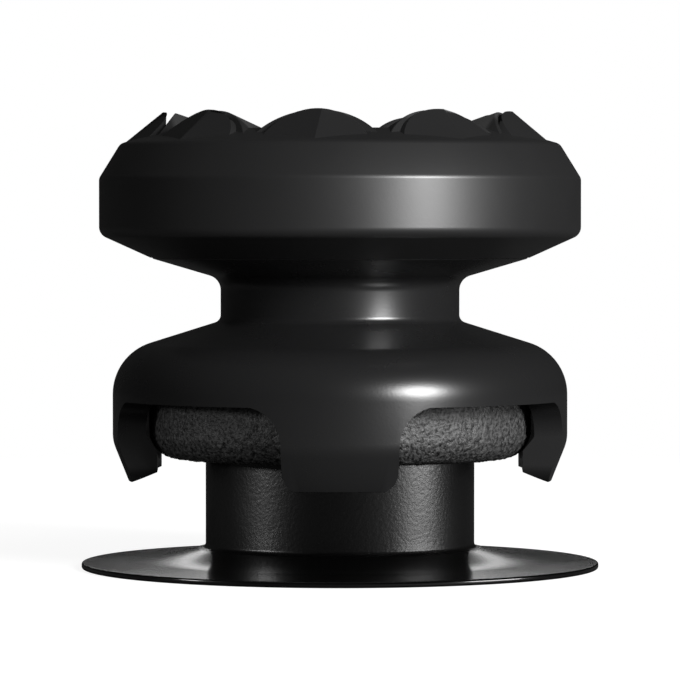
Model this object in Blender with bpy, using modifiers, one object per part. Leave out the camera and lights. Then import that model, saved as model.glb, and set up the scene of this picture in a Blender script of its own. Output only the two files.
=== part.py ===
"""Clip-on thumb grip for a game controller's analogue stick, with the stick it is clipped to.

Metres, +Z up. The origin is the centre of the stick skirt's foot ring, on the surface it stands on.
Two of the grip's four claws lie on the X axis and two on the Y axis, and the front is -Y.
"""

import math

import bmesh
import bpy
from mathutils import Matrix, Vector

MM = 0.001

# Stick: a rigid post with a thin skirt that flattens towards its edge, and a rubber head moulded over
# the post's disc.
SKIRT_RADIUS = 11.17 * MM
SKIRT_EDGE = 0.25 * MM
SKIRT_EDGE_FILLET = 0.08 * MM
SKIRT_RISE = 0.93 * MM
SKIRT_WALL = 0.30 * MM
SKIRT_BEND_REACH = 2.16 * MM
SKIRT_BEND_HEIGHT = 0.43 * MM
SKIRT_BEND_FILLET = 12.00 * MM
FOOT_WIDTH = 0.85 * MM
STEM_RADIUS = 5.81 * MM
STEM_WALL = 0.90 * MM
STEM_ROOT_FILLET = 0.20 * MM
HEAD_RADIUS = 8.30 * MM
HEAD_BOTTOM = 4.70 * MM
HEAD_HEIGHT = 3.15 * MM
HEAD_TOP_FILLET = 0.80 * MM
HEAD_LOWER_FILLET = 1.25 * MM
HEAD_DISH_RADIUS = 6.40 * MM
HEAD_DISH_DEPTH = 0.35 * MM
COVER_SIDE_WALL = 1.10 * MM
COVER_TOP_WALL = 0.60 * MM
DISC_THICKNESS = 1.10 * MM
DISC_FILLET = 0.25 * MM
HUB_RADIUS = 2.90 * MM
HUB_RECESS = 0.35 * MM
BORE_RADIUS = 2.00 * MM
BORE_FLAT = 1.45 * MM
BORE_DEPTH = 5.00 * MM
RIB_THICKNESS = 0.70 * MM
RIB_RECESS = 0.80 * MM
STEM_CEILING_WALL = 1.00 * MM

# Clearances: rubber to the plastic it is moulded on, grip to the stick's head above and below.
BOND_GAP = 0.10 * MM
SEAT_GAP = 0.10 * MM
CLIP_GAP = 0.13 * MM

# Grip body: a bell over the stick's head, four hooked claws, a neck and a flange in the tread.
BELL_CLEARANCE = 0.36 * MM
BELL_WALL = 1.16 * MM
BELL_HEIGHT = 2.72 * MM
BELL_SLOPE = math.radians(17.5)
BELL_SHOULDER_FILLET = 2.30 * MM
NECK_RADIUS = 5.16 * MM
NECK_LENGTH = 1.81 * MM
NECK_LOWER_FILLET = 0.35 * MM
NECK_UPPER_FILLET = 0.65 * MM
UNDERSIDE_SLOPE = math.radians(16.5)
FLANGE_FILLET = 0.25 * MM

# Claws: a hook that ramps in under the head's rounded lower edge, and the windows between claws.
CLAW_COUNT = 4
HOOK_REACH = 0.49 * MM
HOOK_RAMP = math.radians(51.1)
HOOK_NOSE_DROP = 0.37 * MM
HOOK_NOSE_SETBACK = 0.16 * MM
HOOK_NOSE_FILLET = 0.25 * MM
CLAW_LENGTH = 4.18 * MM
CLAW_TIP_INSET = 0.69 * MM
CLAW_TAPER_LENGTH = 1.73 * MM
CLAW_TAPER_FILLET = 1.60 * MM
CLAW_WIDTH = 5.05 * MM
CLAW_TIP_WIDTH = 4.75 * MM
CLAW_CORNER_FILLET = 0.85 * MM
CLAW_ROOT_FILLET = 1.60 * MM
CLAW_ROOT_REACH = 2.40 * MM
WINDOW_DROP = 0.67 * MM

# Tread: a rubber cap with a straight band, a chamfered rim, a dish and a ring of teeth. Its lip wraps
# under the body's flange as far as a seam on the underside.
BAND_RADIUS = 10.40 * MM
SEAM_INSET = 2.30 * MM
FLANGE_INSET = 1.50 * MM
LIP_THICKNESS = 0.90 * MM
BAND_HEIGHT = 2.42 * MM
BAND_LOWER_FILLET = 0.50 * MM
BAND_UPPER_FILLET = 0.35 * MM
LIP_SLOPE = math.radians(24.4)
CHAMFER_WIDTH = 0.92 * MM
CHAMFER_HEIGHT = 1.49 * MM
RIM_FILLET = 0.40 * MM
RIM_SLOPE = 0.28
RIDGE_INSET = 2.90 * MM
DISH_DEPTH = 0.65 * MM
TREAD_TOP_WALL = 1.20 * MM

# Teeth: each has a front shell with two facets, a V groove behind it and a long rear shell. Both shells
# are rounded across, and the rear one is wider and slopes down into the dish.
TOOTH_COUNT = 9
TOOTH_PHASE = math.radians(-7.2)
TOOTH_SETBACK = 0.30 * MM
TOOTH_FACE_SETBACK = 0.15 * MM
TOOTH_CREST_INSET = 1.91 * MM
TOOTH_HEIGHT = 1.27 * MM
TOOTH_ROOT_DEPTH = 0.40 * MM
FACET_SIDE_SLOPE = 0.25
FRONT_SHELL_ROUND = 2.70 * MM
REAR_SHELL_ROUND = 3.40 * MM
REAR_SHELL_SLOPE = 0.336
REAR_SHELL_DROP = 0.03 * MM
GROOVE_WIDTH = 0.46 * MM
GROOVE_DEPTH = 0.61 * MM

# Facets: round surfaces stay within this distance of the true curve.
TURN_STEPS = 72
FACET_TOLERANCE = 0.017 * MM
CUT_OVERLAP = 0.03 * MM
WELD_DISTANCE = 0.0005 * MM
SHARP_ANGLE = math.radians(28.0)
CUT_MARGIN = 1.00 * MM

# Heights and radii that follow from the sizes above, from the foot ring up.
head_top = HEAD_BOTTOM + HEAD_HEIGHT
disc_top = head_top - HEAD_DISH_DEPTH - COVER_TOP_WALL - BOND_GAP
disc_bottom = disc_top - DISC_THICKNESS
disc_radius = HEAD_RADIUS - COVER_SIDE_WALL - BOND_GAP
stem_inner = STEM_RADIUS - STEM_WALL
stem_ceiling = disc_bottom - STEM_CEILING_WALL

bell_ceiling = head_top + SEAT_GAP
bell_inner = HEAD_RADIUS + BELL_CLEARANCE
bell_outer = bell_inner + BELL_WALL
neck_bottom = bell_ceiling + BELL_HEIGHT
neck_top = neck_bottom + NECK_LENGTH
seam_radius = BAND_RADIUS - SEAM_INSET
seam_height = neck_top + math.tan(UNDERSIDE_SLOPE) * (seam_radius - NECK_RADIUS)
claw_tip = bell_ceiling - CLAW_LENGTH
hook_radius = HEAD_RADIUS - HOOK_REACH
window_top = bell_ceiling - WINDOW_DROP

band_bottom = seam_height + math.tan(LIP_SLOPE) * SEAM_INSET
band_top = band_bottom + BAND_HEIGHT
rim_radius = BAND_RADIUS - CHAMFER_WIDTH
rim_height = band_top + CHAMFER_HEIGHT
ridge_radius = BAND_RADIUS - RIDGE_INSET
ridge_height = rim_height + RIM_SLOPE * (rim_radius - ridge_radius)
dish_bottom = ridge_height - DISH_DEPTH
flange_top = dish_bottom - TREAD_TOP_WALL - BOND_GAP
flange_bottom = seam_height + LIP_THICKNESS + BOND_GAP
flange_radius = BAND_RADIUS - FLANGE_INSET


def remove_everything():
    for item in list(bpy.data.objects):
        bpy.data.objects.remove(item, do_unlink=True)


def new_collection(name):
    collection = bpy.data.collections.new(name)
    bpy.context.scene.collection.children.link(collection)
    return collection


def new_material(name, colour, roughness):
    """A Principled material of one colour; none of these pieces is metal."""
    material = bpy.data.materials.new(name)
    material.use_nodes = True
    shader = material.node_tree.nodes["Principled BSDF"]
    shader.inputs["Base Color"].default_value = (*colour, 1.0)
    shader.inputs["Roughness"].default_value = roughness
    shader.inputs["Metallic"].default_value = 0.0
    return material


def arc_steps(radius, turn):
    """How many chords keep an arc of this radius and turn within the facet tolerance."""
    if radius <= FACET_TOLERANCE:
        return 1
    chord = 2.0 * math.acos(1.0 - FACET_TOLERANCE / radius)
    return max(1, math.ceil(turn / chord))


def rounded(corners):
    """Turn corners (a, b, fillet radius) into outline points; the two end corners stay sharp."""
    points = []
    for index, (a, b, radius) in enumerate(corners):
        corner = Vector((a, b))
        if radius == 0.0:
            points.append(corner)
            continue
        before = Vector(corners[index - 1][:2]) - corner
        after = Vector(corners[index + 1][:2]) - corner
        opening = before.angle(after)
        turn = math.pi - opening
        reach = radius * math.tan(turn / 2.0)
        centre = corner + (before.normalized() + after.normalized()).normalized() * (
            radius / math.sin(opening / 2.0))
        start = corner + before.normalized() * reach - centre
        end = corner + after.normalized() * reach - centre
        sweep = start.angle_signed(end)
        steps = arc_steps(radius, turn)
        for step in range(steps + 1):
            points.append(centre + Matrix.Rotation(-sweep * step / steps, 2) @ start)
    return points


def dish(reach, depth, height):
    """Outline points of a shallow bowl, from its centre out to reach, where it is depth higher."""
    curvature = (reach ** 2 + depth ** 2) / (2.0 * depth)
    steps = arc_steps(curvature, math.asin(reach / curvature))
    radii = [reach * step / steps for step in range(steps)]
    return [Vector((radius, height + depth * (radius / reach) ** 2)) for radius in radii]


def turned(name, outline, collection):
    """Turn an outline about Z; it runs from the axis out and down the outer side, and back to the axis."""
    mesh = bpy.data.meshes.new(name)
    edges = [(index, index + 1) for index in range(len(outline) - 1)]
    mesh.from_pydata([(point[0], 0.0, point[1]) for point in outline], edges, [])
    item = bpy.data.objects.new(name, mesh)
    collection.objects.link(item)
    screw = item.modifiers.new("Turned", "SCREW")
    screw.axis = "Z"
    screw.steps = TURN_STEPS
    screw.render_steps = TURN_STEPS
    screw.use_merge_vertices = True
    screw.merge_threshold = WELD_DISTANCE
    return item


def extruded(name, outline, thickness, collection):
    """A flat outline as a filled curve, made a mesh; it lies in X and Z and is centred on Y."""
    curve = bpy.data.curves.new(name, "CURVE")
    curve.dimensions = "2D"
    curve.fill_mode = "BOTH"
    curve.extrude = thickness / 2.0
    spline = curve.splines.new("POLY")
    spline.points.add(len(outline) - 1)
    for point, (a, b) in zip(spline.points, outline):
        point.co = (a, b, 0.0, 1.0)
    spline.use_cyclic_u = True
    source = bpy.data.objects.new(name + "_outline", curve)
    collection.objects.link(source)
    bpy.context.view_layer.update()
    depsgraph = bpy.context.evaluated_depsgraph_get()
    mesh = bpy.data.meshes.new_from_object(source.evaluated_get(depsgraph))
    bpy.data.objects.remove(source, do_unlink=True)
    mesh.name = name
    shape = bmesh.new()
    shape.from_mesh(mesh)
    bmesh.ops.remove_doubles(shape, verts=shape.verts, dist=WELD_DISTANCE)
    bmesh.ops.rotate(shape, verts=shape.verts, matrix=Matrix.Rotation(math.pi / 2.0, 3, "X"))
    bmesh.ops.recalc_face_normals(shape, faces=shape.faces)
    shape.to_mesh(mesh)
    shape.free()
    item = bpy.data.objects.new(name, mesh)
    collection.objects.link(item)
    return item


def block(name, size, centre, collection):
    """A box of this size with its centre at this place."""
    shape = bmesh.new()
    bmesh.ops.create_cube(shape, size=1.0)
    bmesh.ops.scale(shape, verts=shape.verts, vec=size)
    bmesh.ops.translate(shape, verts=shape.verts, vec=centre)
    return linked_mesh(name, shape, collection)


def upright_rod(radius, bottom, top):
    """A cylinder on the Z axis."""
    shape = bmesh.new()
    bmesh.ops.create_cone(shape, cap_ends=True, segments=TURN_STEPS, radius1=radius, radius2=radius,
                          depth=top - bottom)
    bmesh.ops.translate(shape, verts=shape.verts, vec=(0.0, 0.0, (top + bottom) / 2.0))
    return shape


def lying_rod(radius, peak, slope):
    """A cylinder along X whose topmost line passes through the peak and climbs outwards at a slope."""
    lean = math.atan(slope)
    up = Vector((-math.sin(lean), 0.0, math.cos(lean)))
    shape = bmesh.new()
    bmesh.ops.create_cone(shape, cap_ends=True, segments=4 * arc_steps(radius, math.pi / 2.0),
                          radius1=radius, radius2=radius, depth=2.0 * BAND_RADIUS)
    bmesh.ops.rotate(shape, verts=shape.verts, matrix=Matrix.Rotation(math.pi / 2.0 - lean, 3, "Y"))
    bmesh.ops.translate(shape, verts=shape.verts, vec=peak - up * radius)
    return shape


def linked_mesh(name, shape, collection):
    mesh = bpy.data.meshes.new(name)
    shape.to_mesh(mesh)
    shape.free()
    item = bpy.data.objects.new(name, mesh)
    collection.objects.link(item)
    return item


def sliced(shape, point, normal):
    """Cut a closed shape with a plane, drop the side that the normal points to and close the cut."""
    geometry = shape.verts[:] + shape.edges[:] + shape.faces[:]
    cut = bmesh.ops.bisect_plane(shape, geom=geometry, dist=WELD_DISTANCE / 10.0, plane_co=point,
                                 plane_no=normal, clear_outer=True)
    edges = [item for item in cut["geom_cut"] if isinstance(item, bmesh.types.BMEdge)]
    bmesh.ops.contextual_create(shape, geom=edges)


def combine(item, tool, operation):
    """Join another object to this one, or cut it away, and keep the other as a hidden guide."""
    boolean = item.modifiers.new(operation.title() + " " + tool.name, "BOOLEAN")
    boolean.operation = operation
    boolean.solver = "EXACT"
    boolean.object = tool
    tool.hide_render = True
    tool.display_type = "WIRE"


def apply_modifiers(item):
    bpy.context.view_layer.update()
    depsgraph = bpy.context.evaluated_depsgraph_get()
    mesh = bpy.data.meshes.new_from_object(item.evaluated_get(depsgraph))
    item.modifiers.clear()
    item.data = mesh
    mesh.name = item.name


def finished(item, material):
    """Apply an object's modifiers, shade its round faces smooth and give it its material."""
    apply_modifiers(item)
    item.data.shade_smooth()
    item.data.set_sharp_from_angle(angle=SHARP_ANGLE)
    item.data.materials.clear()
    item.data.materials.append(material)


def stick_post(parts, guides):
    """Skirt, hollow stem, hub with a flatted bore for the joystick's lever, ribs and the head's disc."""
    foot_inner = SKIRT_RADIUS - FOOT_WIDTH
    bend_radius = STEM_RADIUS + SKIRT_BEND_REACH
    inner_slope = (SKIRT_RISE - SKIRT_BEND_HEIGHT) / SKIRT_BEND_REACH
    recess_bend = SKIRT_BEND_HEIGHT - SKIRT_WALL
    recess_height = recess_bend + inner_slope * (bend_radius - stem_inner)
    outline = rounded([
        (0.0, disc_top, 0.0),
        (disc_radius, disc_top, DISC_FILLET),
        (disc_radius, disc_bottom, DISC_FILLET),
        (STEM_RADIUS, disc_bottom, 0.0),
        (STEM_RADIUS, SKIRT_RISE, STEM_ROOT_FILLET),
        (bend_radius, SKIRT_BEND_HEIGHT, SKIRT_BEND_FILLET),
        (SKIRT_RADIUS, SKIRT_EDGE, SKIRT_EDGE_FILLET),
        (SKIRT_RADIUS, 0.0, SKIRT_EDGE_FILLET),
        (foot_inner, 0.0, 0.0),
        (bend_radius, recess_bend, 0.0),
        (stem_inner, recess_height, 0.0),
        (stem_inner, stem_ceiling, 0.0),
        (HUB_RADIUS, stem_ceiling, 0.0),
        (HUB_RADIUS, HUB_RECESS, 0.0),
        (0.0, HUB_RECESS, 0.0),
    ])
    post = turned("stick_post", outline, parts)
    rib_length = 2.0 * (stem_inner + STEM_WALL / 2.0)
    rib_top = stem_ceiling + STEM_CEILING_WALL / 2.0
    rib_height = rib_top - RIB_RECESS
    for name, angle in (("ribs_left_right", 0.0), ("ribs_front_back", math.pi / 2.0)):
        rib = block(name, (rib_length, RIB_THICKNESS, rib_height),
                    (0.0, 0.0, (rib_top + RIB_RECESS) / 2.0), guides)
        rib.rotation_euler.z = angle
        combine(post, rib, "UNION")
    bore = upright_rod(BORE_RADIUS, HUB_RECESS - CUT_MARGIN, HUB_RECESS + BORE_DEPTH)
    sliced(bore, (BORE_FLAT, 0.0, 0.0), (1.0, 0.0, 0.0))
    combine(post, linked_mesh("lever_bore", bore, guides), "DIFFERENCE")
    return post


def stick_head_cover(parts):
    """Rubber moulded round the post's disc, with a shallow dish on top and an open underside."""
    sleeve = STEM_RADIUS + BOND_GAP
    pocket = disc_radius + BOND_GAP
    dish_height = head_top - HEAD_DISH_DEPTH
    corners = [
        (HEAD_DISH_RADIUS, head_top, 0.0),
        (HEAD_RADIUS, head_top, HEAD_TOP_FILLET),
        (HEAD_RADIUS, HEAD_BOTTOM, HEAD_LOWER_FILLET),
        (sleeve, HEAD_BOTTOM, 0.0),
        (sleeve, disc_bottom - BOND_GAP, 0.0),
        (pocket, disc_bottom - BOND_GAP, 0.0),
        (pocket, disc_top + BOND_GAP, 0.0),
        (0.0, disc_top + BOND_GAP, 0.0),
    ]
    outline = dish(HEAD_DISH_RADIUS, HEAD_DISH_DEPTH, dish_height) + rounded(corners)
    return turned("stick_head_cover", outline, parts)


def hook_outline():
    """The claws' inner side, from the tip in to the hook's nose and up a ramp to the bell's ceiling.

    The ramp clears the head's rounded lower edge by the clip gap, whatever the head's size.
    """
    edge_radius = HEAD_RADIUS - HEAD_LOWER_FILLET
    edge_height = HEAD_BOTTOM + HEAD_LOWER_FILLET
    offset = HEAD_LOWER_FILLET + CLIP_GAP

    def ramp_height(radius):
        along = (radius - edge_radius) * math.sin(HOOK_RAMP) - offset
        return edge_height + along / math.cos(HOOK_RAMP)

    hook_height = ramp_height(hook_radius)
    return [
        (bell_outer - CLAW_TIP_INSET, claw_tip, 0.0),
        (hook_radius + HOOK_NOSE_SETBACK, hook_height - HOOK_NOSE_DROP, HOOK_NOSE_FILLET),
        (hook_radius, hook_height, 0.0),
        (bell_inner, ramp_height(bell_inner), 0.0),
        (bell_inner, bell_ceiling, 0.0),
    ]


def window_cutter(guides):
    """Everything below the bell's lower edge, less four claws; each claw's nose is cut flat."""
    cutter = upright_rod(bell_outer + CUT_MARGIN, claw_tip - CUT_MARGIN, window_top)
    cutter = linked_mesh("claw_windows", cutter, guides)
    foot = claw_tip - CUT_OVERLAP
    ledge = window_top + CUT_OVERLAP
    shoulder = CLAW_WIDTH / 2.0 + CLAW_ROOT_REACH
    half_outline = rounded([
        (0.0, foot, 0.0),
        (CLAW_TIP_WIDTH / 2.0, foot, CLAW_CORNER_FILLET),
        (CLAW_WIDTH / 2.0, ledge, CLAW_ROOT_FILLET),
        (shoulder, ledge, 0.0),
        (shoulder, ledge + CUT_MARGIN, 0.0),
        (0.0, ledge + CUT_MARGIN, 0.0),
    ])[1:-1]
    outline = half_outline + [Vector((-point.x, point.y)) for point in reversed(half_outline)]
    outside = bell_outer + 2.0 * CUT_MARGIN
    depth = outside - hook_radius
    reach = (outside + hook_radius) / 2.0
    for quarter in range(CLAW_COUNT):
        turn = math.tau * quarter / CLAW_COUNT
        guard = extruded(f"claw_guard_{quarter + 1}", outline, depth, guides)
        guard.location = (reach * math.sin(turn), -reach * math.cos(turn), 0.0)
        guard.rotation_euler.z = turn
        combine(cutter, guard, "DIFFERENCE")
    return cutter


def grip_body(parts, guides):
    """Flange, head underside, neck, bell and claws, turned as one moulding and cut into claws."""
    outline = rounded([
        (0.0, flange_top, 0.0),
        (flange_radius, flange_top, FLANGE_FILLET),
        (flange_radius, flange_bottom, FLANGE_FILLET),
        (seam_radius, flange_bottom, 0.0),
        (seam_radius, seam_height, 0.0),
        (NECK_RADIUS, neck_top, NECK_UPPER_FILLET),
        (NECK_RADIUS, neck_bottom, NECK_LOWER_FILLET),
        (bell_outer, neck_bottom - math.tan(BELL_SLOPE) * (bell_outer - NECK_RADIUS),
         BELL_SHOULDER_FILLET),
        (bell_outer, claw_tip + CLAW_TAPER_LENGTH, CLAW_TAPER_FILLET),
        *hook_outline(),
        (0.0, bell_ceiling, 0.0),
    ])
    body = turned("grip_body", outline, parts)
    combine(body, window_cutter(guides), "DIFFERENCE")
    return body


def tread_blank(parts):
    """The tread without its teeth: dish, rim, chamfer, band, lower lip and the flange's pocket."""
    corners = [
        (ridge_radius, ridge_height, 0.0),
        (rim_radius, rim_height, RIM_FILLET),
        (BAND_RADIUS, band_top, BAND_UPPER_FILLET),
        (BAND_RADIUS, band_bottom, BAND_LOWER_FILLET),
        (seam_radius + BOND_GAP, seam_height + math.tan(LIP_SLOPE) * BOND_GAP, 0.0),
        (seam_radius + BOND_GAP, flange_bottom - BOND_GAP, 0.0),
        (flange_radius + BOND_GAP, flange_bottom - BOND_GAP, 0.0),
        (flange_radius + BOND_GAP, flange_top + BOND_GAP, 0.0),
        (0.0, flange_top + BOND_GAP, 0.0),
    ]
    outline = dish(ridge_radius, DISH_DEPTH, dish_bottom) + rounded(corners)
    return turned("grip_tread", outline, parts)


def tooth_blank(guides):
    """One tooth along +X, its root sunk in the tread: front shell, V groove and rear shell."""
    start_radius = rim_radius - TOOTH_SETBACK
    start_height = rim_height + RIM_SLOPE * TOOTH_SETBACK
    crest_radius = rim_radius - TOOTH_CREST_INSET
    crest_height = start_height + TOOTH_HEIGHT
    facet_slope = TOOTH_HEIGHT / (start_radius - crest_radius)
    root = (0.0, 0.0, dish_bottom - TOOTH_ROOT_DEPTH)
    down = (0.0, 0.0, -1.0)

    front = lying_rod(FRONT_SHELL_ROUND, Vector((crest_radius, 0.0, crest_height)), 0.0)
    for hand in (-1.0, 1.0):
        sliced(front, (start_radius, 0.0, start_height), (facet_slope, hand * FACET_SIDE_SLOPE, 1.0))
    sliced(front, (rim_radius - TOOTH_FACE_SETBACK, 0.0, 0.0), (1.0, 0.0, 0.0))
    sliced(front, (crest_radius, 0.0, 0.0), (-1.0, 0.0, 0.0))
    sliced(front, root, down)

    rear_peak = Vector((crest_radius - GROOVE_WIDTH, 0.0, crest_height - REAR_SHELL_DROP))
    rear = lying_rod(REAR_SHELL_ROUND, rear_peak, REAR_SHELL_SLOPE)
    sliced(rear, rear_peak, (GROOVE_DEPTH, 0.0, GROOVE_WIDTH))
    sliced(rear, root, down)

    blank = linked_mesh("tooth_blank", front, guides)
    combine(blank, linked_mesh("tooth_rear_shell", rear, guides), "UNION")
    apply_modifiers(blank)
    return blank


def grip_tread(parts, guides):
    """The tread with its ring of teeth; every tooth is a turned copy of one blank."""
    tread = tread_blank(parts)
    blank = tooth_blank(guides)
    for number in range(TOOTH_COUNT):
        tooth = blank if number == 0 else bpy.data.objects.new(f"tooth_{number + 1}", blank.data)
        if number > 0:
            guides.objects.link(tooth)
        tooth.rotation_euler.z = TOOTH_PHASE - math.pi / 2.0 + math.tau * number / TOOTH_COUNT
        combine(tread, tooth, "UNION")
    return tread


def main():
    remove_everything()
    parts = new_collection("controller_thumb_grip")
    guides = new_collection("controller_thumb_grip_guides")
    rubber = new_material("black_rubber", (0.020, 0.020, 0.021), 0.42)
    satin_plastic = new_material("satin_black_plastic", (0.016, 0.016, 0.017), 0.34)
    head_rubber = new_material("textured_rubber", (0.030, 0.030, 0.031), 0.75)
    stick_plastic = new_material("stick_plastic", (0.012, 0.012, 0.013), 0.22)
    finished(grip_tread(parts, guides), rubber)
    finished(grip_body(parts, guides), satin_plastic)
    finished(stick_head_cover(parts), head_rubber)
    finished(stick_post(parts, guides), stick_plastic)


main()
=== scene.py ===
# %% [markdown]
# # A toothed thumb grip, clipped to its stick
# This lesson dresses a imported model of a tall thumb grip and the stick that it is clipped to. The frame
# gives every piece its true place and size. On top of it go four finer pieces, four black finishes that
# are told apart only by their gloss and grain, and a small studio with lamps of its own for the stick.

# %% Load the frame
import math

import bpy
from mathutils import Matrix, Vector


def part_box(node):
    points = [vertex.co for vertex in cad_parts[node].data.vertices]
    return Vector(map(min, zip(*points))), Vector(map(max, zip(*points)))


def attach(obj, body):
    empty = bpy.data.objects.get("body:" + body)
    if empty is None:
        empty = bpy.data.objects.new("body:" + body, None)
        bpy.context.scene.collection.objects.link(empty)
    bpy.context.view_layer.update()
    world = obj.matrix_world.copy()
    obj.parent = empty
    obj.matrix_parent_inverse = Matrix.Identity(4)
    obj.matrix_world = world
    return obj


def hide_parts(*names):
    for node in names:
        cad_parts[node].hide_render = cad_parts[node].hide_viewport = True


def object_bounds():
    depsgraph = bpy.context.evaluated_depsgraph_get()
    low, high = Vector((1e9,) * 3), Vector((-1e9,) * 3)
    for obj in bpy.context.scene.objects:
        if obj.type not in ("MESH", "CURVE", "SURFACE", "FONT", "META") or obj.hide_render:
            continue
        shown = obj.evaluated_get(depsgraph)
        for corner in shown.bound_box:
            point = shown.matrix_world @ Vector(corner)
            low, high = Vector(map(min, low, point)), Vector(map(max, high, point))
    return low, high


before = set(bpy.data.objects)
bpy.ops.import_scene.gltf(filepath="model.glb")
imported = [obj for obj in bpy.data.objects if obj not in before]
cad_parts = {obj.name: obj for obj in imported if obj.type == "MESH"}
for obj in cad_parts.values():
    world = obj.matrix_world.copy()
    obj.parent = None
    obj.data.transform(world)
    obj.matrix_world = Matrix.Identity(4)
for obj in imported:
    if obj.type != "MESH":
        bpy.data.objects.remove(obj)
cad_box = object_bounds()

MM = 0.001
tread_low, tread_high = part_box("grip_tread")
body_low, body_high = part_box("grip_body")
head_low, head_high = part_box("stick_head_cover")
post_low, post_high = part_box("stick_post")
print("whole object, mm:", [round((b - a) / MM, 2) for a, b in zip(*cad_box)])

# %% [markdown]
# ## Outlines
# Every piece here is round, so each starts as one outline in the plane of X and Z. A real moulding has
# no knife edges, so an outline is written as corners, each with the radius of its rounding, and a helper
# puts a short arc at each corner. Typing the arcs by hand would hide which sizes were chosen.

# %% Round the corners of an outline
ARC_ERROR = 0.002 * MM


def rounded(corners):
    """Corners (radius, height, rounding) become outline points, with an arc at each rounded corner."""
    points = [Vector(corners[0][:2])]
    for before, corner, after in zip(corners, corners[1:], corners[2:]):
        place = Vector(corner[:2])
        rounding = corner[2]
        if rounding == 0.0:
            points.append(place)
            continue
        back = (Vector(before[:2]) - place).normalized()
        ahead = (Vector(after[:2]) - place).normalized()
        opening = back.angle(ahead)
        reach = rounding / math.tan(opening / 2.0)
        centre = place + (back + ahead).normalized() * rounding / math.sin(opening / 2.0)
        start = place + back * reach - centre
        sweep = -start.angle_signed(place + ahead * reach - centre)
        chord = 2.0 * math.acos(1.0 - ARC_ERROR / rounding)
        steps = max(2, math.ceil(abs(sweep) / chord))
        for step in range(steps + 1):
            points.append(centre + Matrix.Rotation(sweep * step / steps, 2) @ start)
    points.append(Vector(corners[-1][:2]))
    return points


def bowl(reach, depth, bottom, count=10):
    """Outline points of a shallow bowl, from its centre to just inside its edge."""
    return [Vector((reach * step / count, bottom + depth * (step / count) ** 2)) for step in range(count)]


# %% [markdown]
# ## Turning on a lathe
# A turned shape is an outline swung once round its axis. The outline is drawn as by hand: a small plane
# is merged to a single point, and that point is extruded from one corner to the next. Spin then sweeps
# the line round Z, the doubled points are merged, and the normals are made to point outwards. Blender's
# tools act on what is selected, so a first helper selects the pieces for a step and nothing else.

# %% Draw a line, then spin it
TURN_STEPS = 240
WELD = 0.001 * MM


def select_only(*pieces):
    """Select these pieces and nothing else; the last one is the active piece."""
    bpy.ops.object.select_all(action="DESELECT")
    for piece in pieces:
        piece.select_set(True)
        bpy.context.view_layer.objects.active = piece


def drawn_line(name, places):
    """A chain of points and edges, extruded one step at a time; it is left in edit mode."""
    select_only()
    bpy.ops.mesh.primitive_plane_add(size=MM, location=(0.0, 0.0, 0.0))
    piece = bpy.context.object
    piece.name = name
    piece.data.name = name
    bpy.ops.object.mode_set(mode="EDIT")
    bpy.ops.mesh.select_all(action="SELECT")
    bpy.ops.mesh.merge(type="CENTER")
    bpy.ops.transform.translate(value=places[0])
    for here, there in zip(places, places[1:]):
        bpy.ops.mesh.extrude_vertices_move(TRANSFORM_OT_translate={"value": there - here})
    return piece


def turned(name, outline, steps=TURN_STEPS):
    """Spin an outline once round Z and close it."""
    piece = drawn_line(name, [Vector((point.x, 0.0, point.y)) for point in outline])
    bpy.ops.mesh.select_all(action="SELECT")
    bpy.ops.mesh.spin(steps=steps, angle=math.tau, center=(0.0, 0.0, 0.0), axis=(0.0, 0.0, 1.0))
    bpy.ops.mesh.select_all(action="SELECT")
    bpy.ops.mesh.remove_doubles(threshold=WELD)
    bpy.ops.mesh.normals_make_consistent(inside=False)
    bpy.ops.object.mode_set(mode="OBJECT")
    return piece


# %% [markdown]
# ## Cutting, joining and finishing
# Four small helpers do the rest. One cuts or joins with a Boolean and throws the tool away. One slices a
# block with a plane and closes the cut. One rounds sharp edges a little. The last weights the normals by
# face area, so that broad flats stay flat and only the narrow roundings catch the light.

# %% Helpers for cutting and finishing
def apply_boolean(piece, tool, operation):
    """Cut the tool out of the piece, or join it on, and throw the tool away."""
    select_only(piece)
    modifier = piece.modifiers.new("Cut", "BOOLEAN")
    modifier.operation = operation
    modifier.solver = "EXACT"
    modifier.object = tool
    bpy.ops.object.modifier_apply(modifier=modifier.name)
    bpy.data.objects.remove(tool)


def slice_off(place, normal):
    """In edit mode: drop what lies on the side that the normal points to, and close the cut."""
    bpy.ops.mesh.select_all(action="SELECT")
    bpy.ops.mesh.bisect(plane_co=place, plane_no=Vector(normal).normalized(), use_fill=True,
                        clear_outer=True)


def soften_edges(piece, width, angle):
    """Round each edge that is sharper than an angle in degrees."""
    select_only(piece)
    modifier = piece.modifiers.new("Soft edges", "BEVEL")
    modifier.width = width
    modifier.segments = 3
    modifier.limit_method = "ANGLE"
    modifier.angle_limit = math.radians(angle)
    modifier.use_clamp_overlap = True
    bpy.ops.object.modifier_apply(modifier=modifier.name)


def shade(piece, angle=35.0):
    """Smooth the shading over edges flatter than an angle in degrees, led by the large faces."""
    select_only(piece)
    bpy.ops.object.shade_smooth_by_angle(angle=math.radians(angle), keep_sharp_edges=False)
    modifier = piece.modifiers.new("Flat faces stay flat", "WEIGHTED_NORMAL")
    modifier.keep_sharp = True
    modifier.weight = 50
    bpy.ops.object.modifier_apply(modifier=modifier.name)
    print(piece.name, len(piece.data.polygons), "faces")


# %% [markdown]
# ## The tread's blank
# The tread is soft rubber moulded over the body's flange. Its outline has a straight band with small
# roundings, a steep chamfer, a gently coned rim and a dish for the thumb, and it wraps under the flange as
# a lip. The band's radius, the lip's foot and the top come from the frame, and the rest is measured down
# or in from them.

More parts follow.
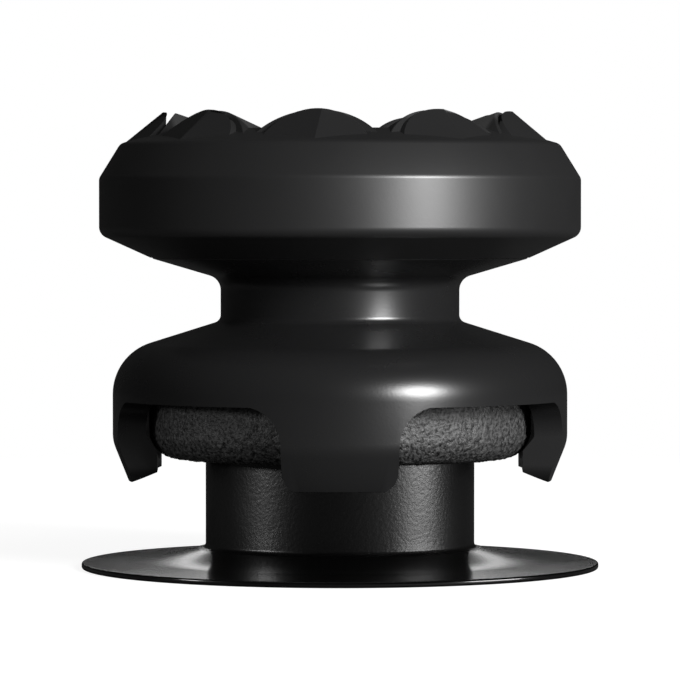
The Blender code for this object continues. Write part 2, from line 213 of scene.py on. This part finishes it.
# %% Turn the tread's blank
band_radius = tread_high[0]
crest_height = tread_high[2]
lip_foot = tread_low[2]
bond_gap = 0.10 * MM
seam_radius = band_radius - 2.30 * MM
lip_slope = math.radians(24.4)
tooth_height = 1.27 * MM
tooth_setback = 0.30 * MM
rim_slope = 0.28
rim_radius = band_radius - 0.92 * MM
rim_height = crest_height - tooth_height - rim_slope * tooth_setback
chamfer_height = 1.49 * MM
ridge_radius = band_radius - 2.90 * MM
ridge_height = rim_height + rim_slope * (rim_radius - ridge_radius)
dish_depth = 0.65 * MM
dish_bottom = ridge_height - dish_depth
flange_top = body_high[2]
flange_radius = band_radius - 1.50 * MM
lip_thickness = 0.90 * MM
band_bottom = lip_foot + math.tan(lip_slope) * (band_radius - seam_radius - bond_gap)
tread = turned("tread", bowl(ridge_radius, dish_depth, dish_bottom) + rounded([
    (ridge_radius, ridge_height, 0.0),
    (rim_radius, rim_height, 0.40 * MM),
    (band_radius, rim_height - chamfer_height, 0.35 * MM),
    (band_radius, band_bottom, 0.50 * MM),
    (seam_radius + bond_gap, lip_foot, 0.0),
    (seam_radius + bond_gap, lip_foot + lip_thickness, 0.0),
    (flange_radius + bond_gap, lip_foot + lip_thickness, 0.0),
    (flange_radius + bond_gap, flange_top + bond_gap, 0.0),
    (0.0, flange_top + bond_gap, 0.0),
]))
print("band", round(band_radius / MM, 2), "rim", round(rim_height / MM, 2))

# %% [markdown]
# ## One tooth, nine times
# Each tooth is two rounded shells, one behind the other, with a V groove between them. The front shell
# is a lying rod cut by two facets. The rear shell is a thicker rod that slopes down into the dish. Planes
# slice both rods, so the facets are truly flat, and the rear shell's wall shows past the front one as a
# thin bright line. The tooth is made once and copied round the rim.

# %% Slice the two shells of a tooth
TOOTH_COUNT = 9
tooth_turn = math.radians(-7.2)
crest_radius = rim_radius - 1.91 * MM
groove_width = 0.46 * MM
groove_depth = 0.61 * MM
start_radius = rim_radius - tooth_setback
facet_slope = tooth_height / (start_radius - crest_radius)
facet_side_slope = 0.25
tooth_root = dish_bottom - 0.40 * MM
front_rod_radius = 2.70 * MM
rear_rod_radius = 3.40 * MM
rear_drop = 0.03 * MM
rear_slope = 0.336
shell_edge = 0.04 * MM


def lying_rod(name, radius, peak, slope):
    """A rod along X, left in edit mode; its topmost line passes the peak and climbs at this slope."""
    lean = math.atan(slope)
    up = Vector((-math.sin(lean), 0.0, math.cos(lean)))
    select_only()
    bpy.ops.mesh.primitive_cylinder_add(vertices=240, radius=radius, depth=2.0 * band_radius,
                                        location=peak - up * radius,
                                        rotation=(0.0, math.pi / 2.0 - lean, 0.0))
    piece = bpy.context.object
    piece.name = name
    bpy.ops.object.transform_apply(location=True, rotation=True)
    bpy.ops.object.mode_set(mode="EDIT")
    return piece


tooth = lying_rod("tooth", front_rod_radius, Vector((crest_radius, 0.0, crest_height)), 0.0)
for hand in (-1.0, 1.0):
    slice_off((start_radius, 0.0, crest_height - tooth_height), (facet_slope, hand * facet_side_slope, 1.0))
slice_off((start_radius + tooth_setback / 2.0, 0.0, 0.0), (1.0, 0.0, 0.0))
slice_off((crest_radius, 0.0, 0.0), (-1.0, 0.0, 0.0))
slice_off((0.0, 0.0, tooth_root), (0.0, 0.0, -1.0))
bpy.ops.object.mode_set(mode="OBJECT")

rear_peak = Vector((crest_radius - groove_width, 0.0, crest_height - rear_drop))
rear = lying_rod("rear shell", rear_rod_radius, rear_peak, rear_slope)
slice_off(rear_peak, (groove_depth, 0.0, groove_width))
slice_off((0.0, 0.0, tooth_root), (0.0, 0.0, -1.0))
bpy.ops.object.mode_set(mode="OBJECT")
for shell in (tooth, rear):
    soften_edges(shell, shell_edge, 12.0)
select_only(rear, tooth)
bpy.ops.object.join()
print("a tooth of two shells,", len(tooth.data.polygons), "faces")

# %% Copy the tooth round the rim and join the copies to the tread
teeth = [tooth]
for number in range(1, TOOTH_COUNT):
    copy = tooth.copy()
    copy.data = tooth.data.copy()
    bpy.context.collection.objects.link(copy)
    teeth.append(copy)
for number, item in enumerate(teeth):
    item.rotation_euler.z = tooth_turn - math.pi / 2.0 + math.tau * number / TOOTH_COUNT
select_only(*teeth)
bpy.ops.object.transform_apply(rotation=True)
select_only(*teeth, tread)
bpy.ops.object.join()
shade(tread)

# %% [markdown]
# ## The body
# The body is one rigid moulding: a flange that hides in the tread, a coned underside, a neck, and a bell
# that ends in four hooked claws. It is turned first, with the claws' hook as a full ring. Then the
# windows between the claws are cut away by a block that has four claw-shaped guards taken out of it.

# %% Turn the body with its hook as a full ring
bell_outer = body_high[0]
claw_tip = body_low[2]
head_radius = head_high[0]
head_bottom = head_low[2]
head_top = head_high[2]
bell_inner = bell_outer - 1.16 * MM
bell_ceiling = head_top + 0.10 * MM
neck_radius = 5.16 * MM
neck_bottom = bell_ceiling + 2.72 * MM
neck_top = neck_bottom + 1.81 * MM
underside_slope = math.radians(16.5)
seam_height = neck_top + math.tan(underside_slope) * (seam_radius - neck_radius)
bell_slope = math.radians(17.5)
hook_ramp = math.radians(51.1)
head_edge = 1.25 * MM
clip_gap = 0.13 * MM
hook_radius = head_radius - 0.49 * MM
hook_lead = Vector((0.16 * MM, -0.37 * MM))
tip_inset = 0.69 * MM
tip_rise = 1.73 * MM


def ramp_height(radius):
    """The hook's ramp stays one clip gap clear of the head's rounded lower edge."""
    along = (radius - head_radius + head_edge) * math.sin(hook_ramp) - head_edge - clip_gap
    return head_bottom + head_edge + along / math.cos(hook_ramp)


hook_height = ramp_height(hook_radius)
body = turned("body", rounded([
    (0.0, flange_top, 0.0),
    (flange_radius, flange_top, 0.25 * MM),
    (flange_radius, seam_height + lip_thickness + bond_gap, 0.25 * MM),
    (seam_radius, seam_height + lip_thickness + bond_gap, 0.0),
    (seam_radius, seam_height, 0.05 * MM),
    (neck_radius, neck_top, 0.65 * MM),
    (neck_radius, neck_bottom, 0.35 * MM),
    (bell_outer, neck_bottom - math.tan(bell_slope) * (bell_outer - neck_radius), 2.30 * MM),
    (bell_outer, claw_tip + tip_rise, 1.60 * MM),
    (bell_outer - tip_inset, claw_tip, 0.04 * MM),
    (hook_radius + hook_lead.x, hook_height + hook_lead.y, 0.25 * MM),
    (hook_radius, hook_height, 0.06 * MM),
    (bell_inner, ramp_height(bell_inner), 0.30 * MM),
    (bell_inner, bell_ceiling, 0.20 * MM),
    (0.0, bell_ceiling, 0.0),
]))
print("bell", round(bell_outer / MM, 2), "claw tip", round(claw_tip / MM, 2), "mm")

# %% Cut the windows between the claws
claw_half = 2.525 * MM
tip_half = 2.375 * MM
root_rounding = 1.60 * MM
tip_rounding = 0.85 * MM
window_top = bell_ceiling - 0.67 * MM
overcut = 0.03 * MM
guard_ledge = window_top + overcut
guard_foot = claw_tip - overcut
guard_side_reach = claw_half + 2.40 * MM
guard_reach = bell_outer + 2.0 * MM
guard_depth = guard_reach - hook_radius
guard_side = rounded([
    (0.0, guard_foot, 0.0),
    (tip_half, guard_foot, tip_rounding),
    (claw_half, guard_ledge, root_rounding),
    (guard_side_reach, guard_ledge, 0.0),
    (guard_side_reach, guard_ledge + MM, 0.0),
    (0.0, guard_ledge + MM, 0.0),
])[1:-1]
guard_places = [Vector((point.x, -guard_reach, point.y)) for point in guard_side]
guard_places += [Vector((-point.x, -guard_reach, point.y)) for point in reversed(guard_side)]

select_only()
bpy.ops.mesh.primitive_cylinder_add(vertices=120, radius=bell_outer + MM, depth=window_top - claw_tip + MM,
                                    location=(0.0, 0.0, (window_top + claw_tip - MM) / 2.0))
windows = bpy.context.object
windows.name = "windows"
for quarter in range(4):
    guard = drawn_line("guard", guard_places)
    bpy.ops.mesh.select_all(action="SELECT")
    bpy.ops.mesh.edge_face_add()
    bpy.ops.mesh.extrude_region_move(TRANSFORM_OT_translate={"value": (0.0, guard_depth, 0.0)})
    bpy.ops.mesh.select_all(action="SELECT")
    bpy.ops.mesh.normals_make_consistent(inside=False)
    bpy.ops.object.mode_set(mode="OBJECT")
    guard.rotation_euler.z = math.tau * quarter / 4.0
    apply_boolean(windows, guard, "DIFFERENCE")
apply_boolean(body, windows, "DIFFERENCE")
shade(body)

# %% [markdown]
# ## The stick's head
# The head is soft rubber with a coarse, crinkled skin that only shows in the windows between the
# claws. Shading alone would leave its outline smooth, so the crinkle is real: the turned head is made of
# small faces, and a Displace modifier pushes them in by up to a tenth of a millimetre. It only pushes
# inwards, because the claws sit about as far away.

# %% Turn the head and crinkle its skin
stem_radius = 5.81 * MM
sleeve_radius = stem_radius + bond_gap
disc_top = post_high[2]
disc_bottom = disc_top - 1.10 * MM
pocket_radius = head_radius - 1.10 * MM
head_dish_radius = 6.40 * MM
head_dish_depth = 0.35 * MM
SKIN_STEP = 0.11 * MM
SKIN_TURN_STEPS = 480


def finely_divided(points, step):
    """Add points along an outline so that no stretch of it is longer than the step."""
    dense = [points[0]]
    for here, there in zip(points, points[1:]):
        count = max(1, math.ceil((there - here).length / step))
        dense += [here.lerp(there, index / count) for index in range(1, count + 1)]
    return dense


skin = finely_divided(rounded([
    (head_dish_radius, head_top, 0.0),
    (head_radius, head_top, 0.80 * MM),
    (head_radius, head_bottom, head_edge),
    (sleeve_radius, head_bottom, 0.0),
]), SKIN_STEP)
inside = rounded([
    (sleeve_radius, head_bottom, 0.0),
    (sleeve_radius, disc_bottom - bond_gap, 0.0),
    (pocket_radius, disc_bottom - bond_gap, 0.0),
    (pocket_radius, disc_top + bond_gap, 0.0),
    (0.0, disc_top + bond_gap, 0.0),
])
head_dish = bowl(head_dish_radius, head_dish_depth, head_top - head_dish_depth)
head = turned("head", head_dish + skin + inside[1:], SKIN_TURN_STEPS)

crinkle = bpy.data.textures.new("crinkled rubber", "CLOUDS")
crinkle.noise_scale = 0.22 * MM
crinkle.noise_depth = 3
crinkle.noise_type = "HARD_NOISE"
outer_skin = head.vertex_groups.new(name="skin")
for vertex in head.data.vertices:
    outward = vertex.co.xy.length
    below_disc = vertex.co.z < disc_bottom - bond_gap - 0.2 * MM
    if outward > sleeve_radius + 0.3 * MM and (below_disc or outward > pocket_radius + 0.2 * MM):
        outer_skin.add([vertex.index], 1.0, "REPLACE")
displace = head.modifiers.new("Crinkle", "DISPLACE")
displace.texture = crinkle
displace.texture_coords = "LOCAL"
displace.vertex_group = "skin"
displace.mid_level = 1.0
displace.strength = 0.10 * MM
select_only(head)
bpy.ops.object.modifier_apply(modifier=displace.name)
shade(head, 80.0)

# %% [markdown]
# ## The stick's post
# The post is one rigid moulding: a disc inside the head, a stem, and a thin wide skirt that hides the
# controller's opening. Underneath, the stem is hollow, and a hub with a flat in its bore takes the
# joystick's lever, held by four ribs.

# %% Turn the post
skirt_radius = post_high[0]
skirt_edge = 0.25 * MM
skirt_rise = 0.93 * MM
bend_radius = stem_radius + 2.16 * MM
bend_height = 0.43 * MM
recess_bend = bend_height - 0.30 * MM
stem_inner = stem_radius - 0.90 * MM
stem_ceiling = disc_bottom - 1.00 * MM
disc_radius = pocket_radius - bond_gap
hub_radius = 2.90 * MM
hub_foot = 0.35 * MM
foot_ring_width = 0.85 * MM
recess_slope = (skirt_rise - bend_height) / (bend_radius - stem_radius)
recess_height = recess_bend + recess_slope * (bend_radius - stem_inner)
post = turned("post", rounded([
    (0.0, disc_top, 0.0),
    (disc_radius, disc_top, 0.25 * MM),
    (disc_radius, disc_bottom, 0.25 * MM),
    (stem_radius, disc_bottom, 0.0),
    (stem_radius, skirt_rise, 0.20 * MM),
    (bend_radius, bend_height, 12.0 * MM),
    (skirt_radius, skirt_edge, 0.08 * MM),
    (skirt_radius, 0.0, 0.08 * MM),
    (skirt_radius - foot_ring_width, 0.0, 0.0),
    (bend_radius, recess_bend, 0.0),
    (stem_inner, recess_height, 0.0),
    (stem_inner, stem_ceiling, 0.20 * MM),
    (hub_radius, stem_ceiling, 0.20 * MM),
    (hub_radius, hub_foot, 0.10 * MM),
    (0.0, hub_foot, 0.0),
]))
print("skirt", round(skirt_radius / MM, 2), "stem", round(stem_radius / MM, 2), "mm")

# %% Add the ribs and cut the lever's bore
rib_foot = 0.80 * MM
rib_top = stem_ceiling + 0.50 * MM
rib_width = 0.70 * MM
rib_length = 2.0 * stem_inner + 0.9 * MM
for turn in (0.0, math.pi / 2.0):
    select_only()
    bpy.ops.mesh.primitive_cube_add(size=1.0, location=(0.0, 0.0, (rib_foot + rib_top) / 2.0),
                                    rotation=(0.0, 0.0, turn),
                                    scale=(rib_length, rib_width, rib_top - rib_foot))
    apply_boolean(post, bpy.context.object, "UNION")

bore_radius = 2.00 * MM
bore_depth = 5.00 * MM
bore_flat = 1.45 * MM
bore_start = hub_foot - MM
bore_end = hub_foot + bore_depth
select_only()
bpy.ops.mesh.primitive_cylinder_add(vertices=72, radius=bore_radius, depth=bore_end - bore_start,
                                    location=(0.0, 0.0, (bore_start + bore_end) / 2.0))
bore = bpy.context.object
bpy.ops.object.transform_apply(location=True)
bpy.ops.object.mode_set(mode="EDIT")
slice_off((bore_flat, 0.0, 0.0), (1.0, 0.0, 0.0))
bpy.ops.object.mode_set(mode="OBJECT")
apply_boolean(post, bore, "DIFFERENCE")
shade(post)

# %% [markdown]
# ## Helpers for materials
# The finishes, the floor and the room all need the same three small steps: stretch a value from one range
# to another, join two values, and measure how far a point lies from the upright axis. Written once, they
# keep the cells below short.

# %% Small steps in a node tree
def ranged(tree, value, low, high, start=0.0, end=1.0):
    """Turn a value between start and end into one between low and high."""
    node = tree.nodes.new("ShaderNodeMapRange")
    for label, number in (("From Min", start), ("From Max", end), ("To Min", low), ("To Max", high)):
        node.inputs[label].default_value = number
    tree.links.new(value, node.inputs["Value"])
    return node.outputs["Result"]


def joined(tree, operation, one, other):
    """The product of two values (MULTIPLY) or the larger of them (MAXIMUM)."""
    node = tree.nodes.new("ShaderNodeMath")
    node.operation = operation
    tree.links.new(one, node.inputs[0])
    tree.links.new(other, node.inputs[1])
    return node.outputs["Value"]


def axis_distance(tree):
    """The distance from the object's upright axis."""
    place = tree.nodes.new("ShaderNodeTexCoord")
    flat = tree.nodes.new("ShaderNodeVectorMath")
    flat.operation = "MULTIPLY"
    flat.inputs[1].default_value = (1.0, 1.0, 0.0)
    reach = tree.nodes.new("ShaderNodeVectorMath")
    reach.operation = "LENGTH"
    tree.links.new(place.outputs["Object"], flat.inputs[0])
    tree.links.new(flat.outputs["Vector"], reach.inputs[0])
    return reach.outputs["Value"]


# %% [markdown]
# ## Black finishes
# All four finishes are black, and what tells them apart is how they scatter light. A moulding tool leaves
# a fine grain on plastic and rubber, and handling leaves the gloss a little uneven. Both effects are the
# same everywhere, so they are built once as a node group and used with different sizes and strengths.

# %% A node group for moulded grain
grain = bpy.data.node_groups.new("moulded_grain", "ShaderNodeTree")
for label, default in (("Grain Size", 6000.0), ("Roughness Low", 0.3), ("Roughness High", 0.4)):
    socket = grain.interface.new_socket(name=label, in_out="INPUT", socket_type="NodeSocketFloat")
    socket.default_value = default
for label in ("Height", "Roughness"):
    grain.interface.new_socket(name=label, in_out="OUTPUT", socket_type="NodeSocketFloat")
inputs = grain.nodes.new("NodeGroupInput")
outputs = grain.nodes.new("NodeGroupOutput")
place = grain.nodes.new("ShaderNodeTexCoord")
pits = grain.nodes.new("ShaderNodeTexNoise")
pits.inputs["Detail"].default_value = 3.0
pits.inputs["Roughness"].default_value = 0.6
haze = grain.nodes.new("ShaderNodeTexNoise")
haze.inputs["Scale"].default_value = 260.0
haze.inputs["Detail"].default_value = 4.0
spread = grain.nodes.new("ShaderNodeMapRange")
spread.inputs["From Min"].default_value = 0.35
spread.inputs["From Max"].default_value = 0.65
grain.links.new(place.outputs["Object"], pits.inputs["Vector"])
grain.links.new(place.outputs["Object"], haze.inputs["Vector"])
grain.links.new(inputs.outputs["Grain Size"], pits.inputs["Scale"])
grain.links.new(haze.outputs["Fac"], spread.inputs["Value"])
grain.links.new(inputs.outputs["Roughness Low"], spread.inputs["To Min"])
grain.links.new(inputs.outputs["Roughness High"], spread.inputs["To Max"])
grain.links.new(pits.outputs["Fac"], outputs.inputs["Height"])
grain.links.new(spread.outputs["Result"], outputs.inputs["Roughness"])
print("grain group sockets:", [item.name for item in grain.interface.items_tree])


# %% A finish is a colour, a roughness and a grain
def finish(name, colour, roughness, grain_size, grain_depth, specular):
    """A black finish; the roughness is a low and a high one, and the grain's depth is in metres."""
    material = bpy.data.materials.new(name)
    material.use_nodes = True
    nodes = material.node_tree.nodes
    links = material.node_tree.links
    shader = nodes["Principled BSDF"]
    shader.inputs["Base Color"].default_value = (*colour, 1.0)
    shader.inputs["Specular IOR Level"].default_value = specular
    group = nodes.new("ShaderNodeGroup")
    group.name = "Moulded grain"
    group.node_tree = grain
    group.inputs["Grain Size"].default_value = grain_size
    group.inputs["Roughness Low"].default_value = roughness[0]
    group.inputs["Roughness High"].default_value = roughness[1]
    bump = nodes.new("ShaderNodeBump")
    bump.name = "Grain relief"
    bump.inputs["Distance"].default_value = grain_depth
    bump.inputs["Strength"].default_value = 1.0
    links.new(group.outputs["Height"], bump.inputs["Height"])
    links.new(group.outputs["Roughness"], shader.inputs["Roughness"])
    links.new(bump.outputs["Normal"], shader.inputs["Normal"])
    return material


def scaled_grain(tree, output, inner, outer, start, end):
    """An output of the grain, times one factor inside the start radius and another past the end."""
    factor = ranged(tree, axis_distance(tree), inner, outer, start, end)
    return joined(tree, "MULTIPLY", factor, tree.nodes["Moulded grain"].outputs[output])


body_plastic = finish("satin body plastic", colour=(0.014, 0.014, 0.0143), roughness=(0.265, 0.285),
                      grain_size=9000.0, grain_depth=0.002 * MM, specular=0.65)
print("first finish:", body_plastic.name)

# %% [markdown]
# ## The tread's matt dish
# The thumb rests in the dish, and a spark-worn mould there would give the rubber a matt skin that doesn't
# slip. From low behind, a satin dish would also mirror the key light as a white glare. The roughness
# therefore doubles inside the ring of crests, by the distance from the axis.

# %% Tread rubber, rougher inside its ring of crests
tread_rubber = finish("tread rubber", colour=(0.0155, 0.0155, 0.0158), roughness=(0.38, 0.41),
                      grain_size=9000.0, grain_depth=0.0015 * MM, specular=1.0)
tree = tread_rubber.node_tree
tree.links.new(scaled_grain(tree, "Roughness", 2.2, 1.0, crest_radius - 0.3 * MM, crest_radius),
               tree.nodes["Principled BSDF"].inputs["Roughness"])
print("matt inside a radius of", round(crest_radius / MM, 2), "mm")

# %% [markdown]
# ## Painted shade in the pits of the head's skin
# The head's rubber is crinkled. Its colour holds painted shade in the pits and painted light on the ridges,
# darker in each pit and paler on each ridge. Relief alone looks too even at this size. The same noise that
# lifts the grain therefore also sets the colour, so that each spot of painted shade sits in its own pit.

# %% Head rubber, with painted shade in its pits and painted light on its ridges
# The pits' colour is painted shade, and the ridges' colour is painted light.
PIT_PAINTED_SHADE = 0.004
RIDGE_PAINTED_LIGHT = 0.085
head_rubber = finish("crinkled head rubber", colour=(0.040, 0.040, 0.041), roughness=(0.36, 0.50),
                     grain_size=6500.0, grain_depth=0.08 * MM, specular=0.5)
tree = head_rubber.node_tree
height = tree.nodes["Moulded grain"].outputs["Height"]
# The grain's height paints shade into the pits and light onto the ridges.
tree.links.new(ranged(tree, height, PIT_PAINTED_SHADE, RIDGE_PAINTED_LIGHT, 0.36, 0.64),
               tree.nodes["Principled BSDF"].inputs["Base Color"])
print("pits", PIT_PAINTED_SHADE, "ridges", RIDGE_PAINTED_LIGHT)

# %% [markdown]
# ## The stick's grained stem and polished skirt
# The stem keeps the grain of its mould, while the skirt slides under the case's ring and is rubbed
# smooth. It is one moulding and so one material. The distance from the axis tells the two apart: just
# past the stem, the roughness halves and the grain fades out.

# %% Stick plastic, polished past the stem
stick_plastic = finish("stick plastic", colour=(0.004, 0.004, 0.0041), roughness=(0.30, 0.36),
                       grain_size=6500.0, grain_depth=0.012 * MM, specular=0.8)
tree = stick_plastic.node_tree
polish_start = stem_radius + 0.1 * MM
polish_end = stem_radius + 0.4 * MM
tree.links.new(scaled_grain(tree, "Roughness", 1.0, 0.50, polish_start, polish_end),
               tree.nodes["Principled BSDF"].inputs["Roughness"])
tree.links.new(scaled_grain(tree, "Height", 1.0, 0.06, polish_start, polish_end),
               tree.nodes["Grain relief"].inputs["Height"])
print("polished outside a radius of", round(polish_end / MM, 2), "mm")

# %% Put each piece in its place on the frame
for piece, node, slot, material in (
    (tread, "grip_tread", "tread_rubber", tread_rubber),
    (body, "grip_body", "body_plastic", body_plastic),
    (head, "stick_head_cover", "head_rubber", head_rubber),
    (post, "stick_post", "stick_plastic", stick_plastic),
):
    piece.data.materials.clear()
    piece.data.materials.append(material)
    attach(piece, "root")
    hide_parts(node)
    print(piece.name, "replaces", node)

# %% [markdown]
# ## The floor
# The picture's background is plain white, which a lit floor never is. The floor therefore glows for the
# camera alone, and only in part near the object, so that its soft shadow stays. To every other ray it is a
# dark table: a white one would light the undersides, which are black in the picture.

# %% Floor
FLOOR_SHARE = 0.60
FLOOR_GLOW = 1.44
FADE_START = 20.0 * MM
FADE_END = 90.0 * MM
PAPER = 0.80
TABLE = 0.05
select_only()
bpy.ops.mesh.primitive_plane_add(size=1.6, location=(0.0, 0.0, 0.0))
floor = bpy.context.object
floor.name = "floor"
paper = bpy.data.materials.new("pale paper")
paper.use_nodes = True
tree = paper.node_tree
shader = tree.nodes["Principled BSDF"]
shader.inputs["Roughness"].default_value = 0.9
glow = tree.nodes.new("ShaderNodeEmission")
mix = tree.nodes.new("ShaderNodeMixShader")
seen = tree.nodes.new("ShaderNodeLightPath").outputs["Is Camera Ray"]
far = ranged(tree, axis_distance(tree), 0.0, 1.0, FADE_START, FADE_END)
tree.links.new(ranged(tree, seen, TABLE, PAPER), shader.inputs["Base Color"])
tree.links.new(ranged(tree, far, FLOOR_GLOW, 1.0), glow.inputs["Strength"])
tree.links.new(joined(tree, "MULTIPLY", ranged(tree, far, FLOOR_SHARE, 1.0), seen), mix.inputs["Fac"])
tree.links.new(shader.outputs["BSDF"], mix.inputs[1])
tree.links.new(glow.outputs["Emission"], mix.inputs[2])
tree.links.new(mix.outputs["Shader"], tree.nodes["Material Output"].inputs["Surface"])
floor.data.materials.append(paper)
print("floor fades to white from", round(FADE_START / MM), "to", round(FADE_END / MM), "mm")

# %% [markdown]
# ## The room
# Black plastic shows the room more than its own colour. The room is white to the camera and gives a weak
# even fill, but mirrored rays find it nearly black, as they did in the picture: its left side and every
# grazing edge are black.

# %% Background and fill
FILL_LEVEL = 0.30
GLOSS_LEVEL = 0.02
world = bpy.data.worlds.new("studio")
bpy.context.scene.world = world
world.use_nodes = True
tree = world.node_tree
rays = tree.nodes.new("ShaderNodeLightPath").outputs
white = joined(tree, "MAXIMUM", rays["Is Camera Ray"], rays["Is Transmission Ray"])
fill = ranged(tree, rays["Is Glossy Ray"], FILL_LEVEL, GLOSS_LEVEL)
background = tree.nodes["Background"]
background.inputs["Color"].default_value = (1.0, 1.0, 1.0, 1.0)
tree.links.new(joined(tree, "MAXIMUM", white, fill), background.inputs["Strength"])
print("fill", FILL_LEVEL, "mirrored room", GLOSS_LEVEL)

# %% [markdown]
# ## The lamps
# One round key light, about forty degrees to the right and a little above, makes the bright spot on the
# bell's shoulder and the soft patches on the band and the neck. The stick in the picture doesn't show
# that key. It shows two upright streaks and, on its skirt, the reflection of something bright and low
# behind it. In a studio, black flags keep one lamp off one thing. Here each lamp has a list of the
# pieces that it falls on.

# %% A soft light and the pieces that it falls on
NEAR = 400.0 * MM
FAR = 500.0 * MM


def soft_light(name, azimuth, elevation, distance, size, power, lit, shape="RECTANGLE"):
    """A softbox aimed at the object; azimuth is to the right of the camera's side."""
    aim = Vector((0.0, 0.0, 10.0 * MM))
    turn, lift = math.radians(azimuth), math.radians(elevation)
    away = Vector((math.sin(turn) * math.cos(lift), -math.cos(turn) * math.cos(lift), math.sin(lift)))
    bpy.ops.object.light_add(type="AREA", location=aim + distance * away,
                             rotation=away.to_track_quat("Z", "Y").to_euler())
    lamp = bpy.context.object
    lamp.name = name
    lamp.data.shape = shape
    lamp.data.size, lamp.data.size_y = size
    lamp.data.energy = power
    lamp.visible_camera = False
    pieces = bpy.data.collections.new(name + " falls on")
    for piece in lit:
        pieces.objects.link(piece)
    lamp.light_linking.receiver_collection = pieces
    print(name, "falls on", [piece.name for piece in lit])


soft_light("key light", 41.0, 17.5, NEAR, (0.15, 0.13), 2.0, (tread, body, head, floor), "ELLIPSE")
soft_light("low strip", 41.0, 3.0, NEAR, (0.09, 0.05), 0.10, (tread, body))
soft_light("right strip", 71.0, 2.0, NEAR, (0.20, 0.05), 0.50, (head, post))
soft_light("left strip", -68.0, 10.0, NEAR, (0.06, 0.05), 0.28, (head, post))
soft_light("back card", 180.0, 12.6, FAR, (0.20, 0.038), 0.046, (post,))
soft_light("top card", 180.0, 75.0, FAR, (0.35, 0.35), 0.30, (post,))

# %% [markdown]
# ## The camera
# The photograph was taken from far off and almost level: the band's edges are straight, and the skirt
# shows as a thin ellipse. A long lens at the height of the band gives both.

# %% Camera
DISTANCE = 190.0 * MM
CAMERA_HEIGHT = 15.0 * MM
FRAME_SHARE = 0.76
width = cad_box[1][0] - cad_box[0][0]
middle = Vector((0.0, 0.0, (cad_box[0][2] + cad_box[1][2]) / 2.0))
camera_place = Vector((0.0, -DISTANCE, CAMERA_HEIGHT))
bpy.ops.object.camera_add(location=camera_place,
                          rotation=(middle - camera_place).to_track_quat("-Z", "Y").to_euler())
camera = bpy.context.object
camera.data.angle = 2.0 * math.atan(width / FRAME_SHARE / 2.0 / DISTANCE)
camera.data.clip_start = 0.01
bpy.context.scene.camera = camera
bpy.context.scene.view_settings.view_transform = "Standard"
print("camera angle", round(math.degrees(camera.data.angle), 2), "degrees")
